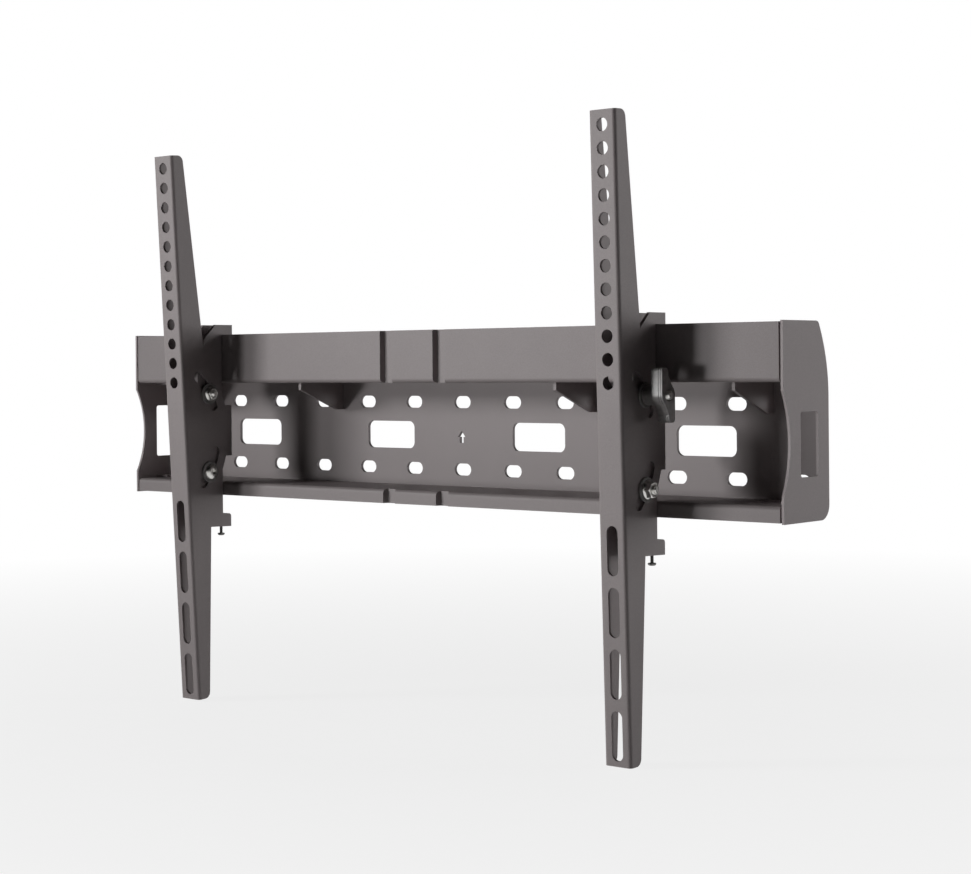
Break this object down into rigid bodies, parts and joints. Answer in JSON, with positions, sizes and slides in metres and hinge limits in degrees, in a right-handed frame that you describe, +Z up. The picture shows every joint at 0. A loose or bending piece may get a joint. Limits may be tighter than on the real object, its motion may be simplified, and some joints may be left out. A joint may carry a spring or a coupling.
{
  "type": "tilting tv wall mount",
  "caption": "Tilting wall mount for a flat television: a folded steel rail for the wall, with slotted upright arms that hook over it, tilt on arc slots and lock from below.",
  "frame": {"origin": "centre of the rail's rear face, the face that lies on the wall, level with the rail's middle height", "axes": "+X to the right seen from the front, +Y out of the rail's rear face into the wall, +Z up"},
  "size_m": [0.6168, 0.1074, 0.4219],
  "materials": {
    "rail_steel": "fine textured grey powder coat",
    "cap_steel": "fine textured grey powder coat",
    "arm_steel": "fine textured grey powder coat",
    "zinc_hardware": "bright zinc plate",
    "washer_plastic": "grey nylon, matt",
    "knob_plastic": "grey moulded plastic, satin",
    "dark_screw": "dark zinc plate"
  },
  "bodies": {
    "rail": {"wall_channel": "rail_steel", "gusset_left_outer": "rail_steel", "gusset_left_inner": "rail_steel", "gusset_right_inner": "rail_steel", "gusset_right_outer": "rail_steel", "end_cap_left": "cap_steel", "end_cap_right": "cap_steel"},
    "carriage_left": {"hanger_left": "arm_steel", "upper_pin_left": "zinc_hardware", "lower_pin_left": "zinc_hardware", "upper_nut_left": "zinc_hardware", "lower_nut_left": "zinc_hardware", "upper_washers_left": "washer_plastic", "lower_washers_left": "washer_plastic"},
    "tilt_arm_left": {"arm_left": "arm_steel"},
    "knob_left": {"clamp_knob_left": "knob_plastic"},
    "lock_left": {"lock_screw_left": "dark_screw"},
    "carriage_right": {"hanger_right": "arm_steel", "upper_pin_right": "zinc_hardware", "lower_pin_right": "zinc_hardware", "upper_nut_right": "zinc_hardware", "lower_nut_right": "zinc_hardware", "upper_washers_right": "washer_plastic", "lower_washers_right": "washer_plastic"},
    "tilt_arm_right": {"arm_right": "arm_steel"},
    "knob_right": {"clamp_knob_right": "knob_plastic"},
    "lock_right": {"lock_screw_right": "dark_screw"}
  },
  "joints": [
    {"name": "carriage_left_slide", "type": "slide", "parent": "rail", "child": "carriage_left", "axis": [1, 0, 0], "range_m": [-0.064, 0.167]},
    {"name": "arm_left_tilt", "type": "hinge", "parent": "carriage_left", "child": "tilt_arm_left", "pos_m": [-0.212, -0.1212, -0.0135], "axis": [1, 0, 0], "range_deg": [-16.2, 9.8]},
    {"name": "knob_left_turn", "type": "hinge", "parent": "carriage_left", "child": "knob_left", "pos_m": [-0.212, -0.07127, 0.01698], "axis": [1, 0, 0], "continuous": true},
    {"name": "lock_left_screw", "type": "slide", "parent": "carriage_left", "child": "lock_left", "axis": [0, 0, 1], "range_m": [-0.012, 0.0015]},
    {"name": "carriage_right_slide", "type": "slide", "parent": "rail", "child": "carriage_right", "axis": [1, 0, 0], "range_m": [-0.159, 0.0715]},
    {"name": "arm_right_tilt", "type": "hinge", "parent": "carriage_right", "child": "tilt_arm_right", "pos_m": [0.2044, -0.1212, -0.0135], "axis": [1, 0, 0], "range_deg": [-14.6, 11.4]},
    {"name": "knob_right_turn", "type": "hinge", "parent": "carriage_right", "child": "knob_right", "pos_m": [0.2044, -0.07127, 0.01698], "axis": [1, 0, 0], "continuous": true},
    {"name": "lock_right_screw", "type": "slide", "parent": "carriage_right", "child": "lock_right", "axis": [0, 0, 1], "range_m": [-0.012, 0.0015]}
  ]
}
